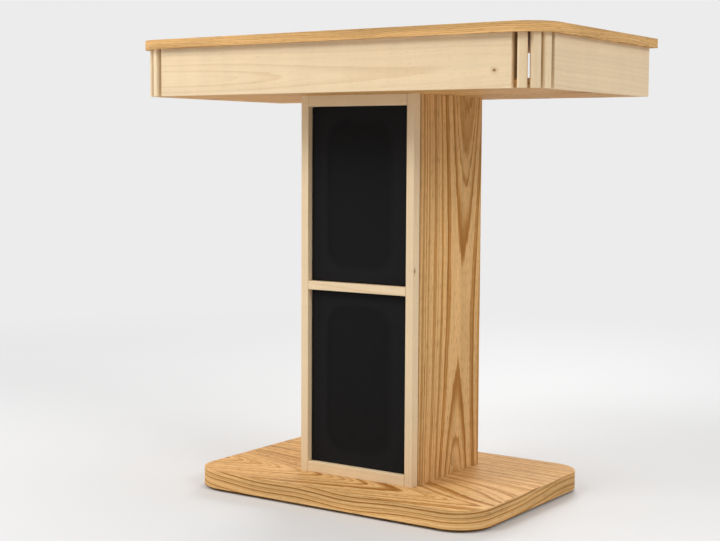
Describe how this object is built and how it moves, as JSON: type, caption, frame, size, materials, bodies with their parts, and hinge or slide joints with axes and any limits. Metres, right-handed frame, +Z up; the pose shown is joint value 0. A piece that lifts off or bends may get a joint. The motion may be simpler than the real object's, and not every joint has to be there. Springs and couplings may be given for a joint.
{
  "type": "dj booth",
  "caption": "Pedestal DJ booth: an open-backed gear table with slatted corners on an oak column with cloth grilles and a rear door, standing on a rounded base.",
  "frame": {"origin": "on the floor, under the middle of the table top", "axes": "+X along the table, to the right seen from the audience; +Y to the DJ's side at the back; +Z up"},
  "size_m": [0.987, 0.518, 0.962],
  "materials": {
    "oak": "satin lacquered oak veneer",
    "oak_edge": "satin lacquered oak edging",
    "maple": "satin lacquered solid maple",
    "plywood": "plain sanded plywood",
    "black_board": "matt black stained board",
    "grille_cloth": "plain woven acoustic cloth",
    "black_plastic": "matt moulded",
    "driver_frame": "satin black paint",
    "magnet": "dull dark",
    "cone_paper": "matt pressed paper",
    "rubber": "matt",
    "dome_silk": "coated silk",
    "steel": "brushed"
  },
  "bodies": {
    "booth": {"base_edge_band": "oak_edge", "base_feet": "rubber", "base_plate": "oak", "bottom_rail": "maple", "column_ceiling": "plywood", "column_divider": "plywood", "column_floor": "plywood", "column_left_side": "oak", "column_right_side": "oak", "corner_blocks": "plywood", "door_catch": "black_plastic", "fixed_hinge_leaves": "steel", "front_fascia": "maple", "gear_shelf": "oak", "hinge_pins": "steel", "left_corner_slat_1": "maple", "left_corner_slat_2": "maple", "left_corner_slat_3": "maple", "left_fascia": "maple", "left_stile": "maple", "lower_baffle": "black_board", "lower_dust_cap": "cone_paper", "lower_grille_cups": "black_plastic", "lower_tweeter_body": "black_plastic", "lower_tweeter_dome": "dome_silk", "lower_woofer_cone": "cone_paper", "lower_woofer_frame": "driver_frame", "lower_woofer_magnet": "magnet", "lower_woofer_surround": "rubber", "mid_rail": "maple", "right_corner_slat_1": "maple", "right_corner_slat_2": "maple", "right_corner_slat_3": "maple", "right_fascia": "maple", "right_stile": "maple", "top_battens": "plywood", "top_edge_band": "oak_edge", "top_panel": "oak", "top_rail": "maple", "upper_baffle": "black_board", "upper_dust_cap": "cone_paper", "upper_grille_cups": "black_plastic", "upper_tweeter_body": "black_plastic", "upper_tweeter_dome": "dome_silk", "upper_woofer_cone": "cone_paper", "upper_woofer_frame": "driver_frame", "upper_woofer_magnet": "magnet", "upper_woofer_surround": "rubber"},
    "lower_grille": {"lower_grille_board": "black_board", "lower_grille_cloth": "grille_cloth", "lower_grille_studs": "black_plastic"},
    "upper_grille": {"upper_grille_board": "black_board", "upper_grille_cloth": "grille_cloth", "upper_grille_studs": "black_plastic"},
    "door": {"rear_door": "oak", "door_knob": "maple", "door_strike": "steel", "door_hinge_leaves": "steel"}
  },
  "joints": [
    {"name": "lower_grille_pull", "type": "slide", "parent": "booth", "child": "lower_grille", "axis": [0, -1, 0], "range_m": [0, 0.12]},
    {"name": "upper_grille_pull", "type": "slide", "parent": "booth", "child": "upper_grille", "axis": [0, -1, 0], "range_m": [0, 0.12]},
    {"name": "door_hinge", "type": "hinge", "parent": "booth", "child": "door", "pos_m": [-0.1215, 0.1547, 0.443], "axis": [0, 0, 1], "range_deg": [0, 165]}
  ]
}
